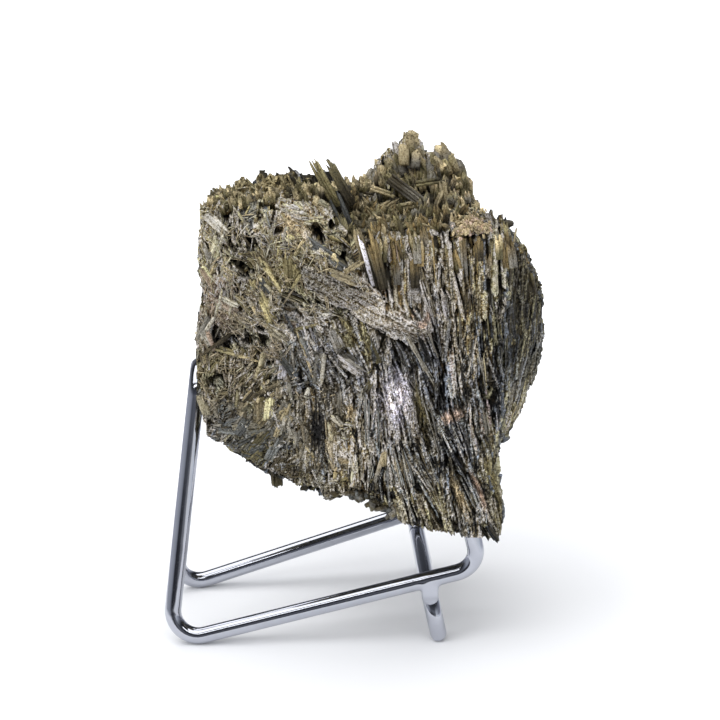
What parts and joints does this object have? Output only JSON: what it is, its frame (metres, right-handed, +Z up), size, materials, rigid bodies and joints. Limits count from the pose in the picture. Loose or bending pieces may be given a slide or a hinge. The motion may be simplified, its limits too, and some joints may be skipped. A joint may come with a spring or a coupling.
{
  "type": "epidote crystal cluster on wire stand",
  "caption": "Cluster of fibrous, bladed epidote crystals leaning on a small bent-wire display stand with a loop behind it and hooks in front.",
  "frame": {"origin": "middle of the bounding box's underside, on the surface that the stand rests on", "axes": "+Z up, -Y out of the cluster's long-fibred face, +X from the stand's loop towards its hooks"},
  "size_m": [0.0758, 0.0456, 0.0937],
  "materials": {
    "epidote": "striated, with glassy crystal faces",
    "bright_wire": "polished"
  },
  "bodies": {
    "root": {"epidote_cluster": "epidote", "stand_frame": "bright_wire", "stand_brace": "bright_wire"}
  },
  "joints": []
}
